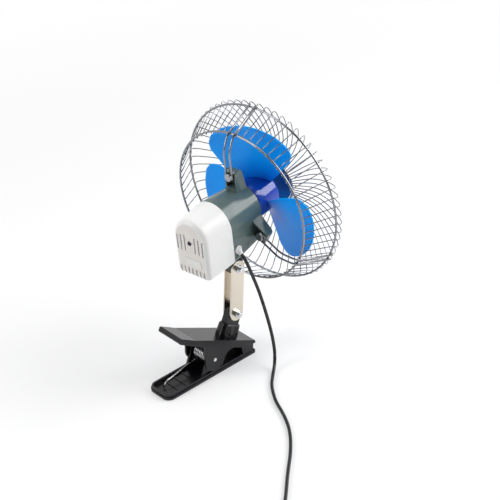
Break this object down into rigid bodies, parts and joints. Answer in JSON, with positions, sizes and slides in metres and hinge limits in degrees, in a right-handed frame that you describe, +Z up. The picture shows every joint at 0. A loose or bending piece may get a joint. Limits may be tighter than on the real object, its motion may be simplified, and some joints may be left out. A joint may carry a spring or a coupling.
{
  "type": "clip fan",
  "caption": "Small oscillating fan on a sprung clip foot, with a strap neck, a motor head, wide blades in a domed wire guard and a corded plug.",
  "frame": {"origin": "middle of the clip's flat underside, where it stands", "axes": "+Z up, +X to the clip's nose and the way the fan blows, +Y to the fan's left"},
  "size_m": [0.2759, 0.4947, 0.2732],
  "materials": {
    "black": "gloss",
    "lug": "gloss",
    "steel": "zinc-plated",
    "spring": "oiled",
    "chrome": "bright",
    "housing": "satin gloss",
    "white": "satin",
    "label": "matt",
    "motor": "zinc",
    "motor_end": "matt",
    "brass": "plain",
    "gear": "nylon",
    "blue": "translucent gloss",
    "badge": "gloss",
    "cord": "matt",
    "plug": "satin"
  },
  "bodies": {
    "base": {"lower_lever": "black", "clip_pin": "steel", "clip_spring": "spring", "cord_drop": "cord", "cord_run": "cord", "cord_coil": "cord", "cord_lead": "cord", "plug_boot": "cord", "plug_body": "plug", "plug_tip": "brass", "plug_wings": "brass"},
    "jaw": {"upper_lever": "black", "post": "black", "post_screws": "steel"},
    "neck": {"strap_near": "chrome", "strap_far": "chrome", "neck_bolts": "steel", "neck_nuts": "steel"},
    "knuckle": {"knuckle": "lug", "stem_washer": "steel", "swivel_arm": "steel", "stem_screw": "steel"},
    "head": {"housing": "housing", "rear_cover": "white", "cover_screw": "steel", "label_plate": "label", "cord_gland": "white", "motor_can": "motor", "motor_cap": "motor_end", "motor_bushes": "brass", "gear_case": "motor", "ring_main": "chrome", "ring_rear": "chrome", "ring_centre": "chrome", "guard_wires": "chrome", "guard_stays": "chrome", "ear_screws": "steel", "front_badge": "badge"},
    "link": {"link_arm": "steel"},
    "rotor": {"rotor_shaft": "steel", "fan_blades": "blue", "worm": "brass"},
    "wheel": {"worm_wheel": "gear", "crank_disc": "steel"}
  },
  "joints": [
    {"name": "clip_open", "type": "hinge", "parent": "base", "child": "jaw", "pos_m": [0.0055, 0, 0.0199], "axis": [0, -1, 0], "range_deg": [0, 30], "stiffness_Nm_per_rad": 1.5, "springref_deg": -51.57, "deforming": ["clip_spring"]},
    {"name": "neck_tilt", "type": "hinge", "parent": "jaw", "child": "neck", "pos_m": [0.04901, 0, 0.05154], "axis": [0, 1, 0], "range_deg": [-20, 20]},
    {"name": "head_tilt", "type": "hinge", "parent": "neck", "child": "knuckle", "pos_m": [0.05754, 0, 0.10456], "axis": [0, 1, 0], "range_deg": [-25, 22]},
    {"name": "oscillation", "type": "hinge", "parent": "knuckle", "child": "head", "pos_m": [0.05754, 0, 0.16911], "axis": [0, 0, 1], "range_deg": [-43.58, 26.42], "deforming": ["cord_drop"]},
    {"name": "link_swing", "type": "hinge", "parent": "knuckle", "child": "link", "pos_m": [0.04354, 0, 0.13611], "axis": [0, 0, 1], "range_deg": [-43.58, 26.42]},
    {"name": "blade_spin", "type": "hinge", "parent": "head", "child": "rotor", "pos_m": [0.05754, 0, 0.16911], "axis": [0.9888, 0.1492, 0], "continuous": true},
    {"name": "gear_spin", "type": "hinge", "parent": "head", "child": "wheel", "pos_m": [0.01139, 0.00426, 0.16911], "axis": [0, 0, 1], "continuous": true}
  ],
  "couplings": [
    {"joint": "link_swing", "follows": "oscillation", "ratio": 1},
    {"joint": "gear_spin", "follows": "blade_spin", "ratio": -0.041667}
  ]
}
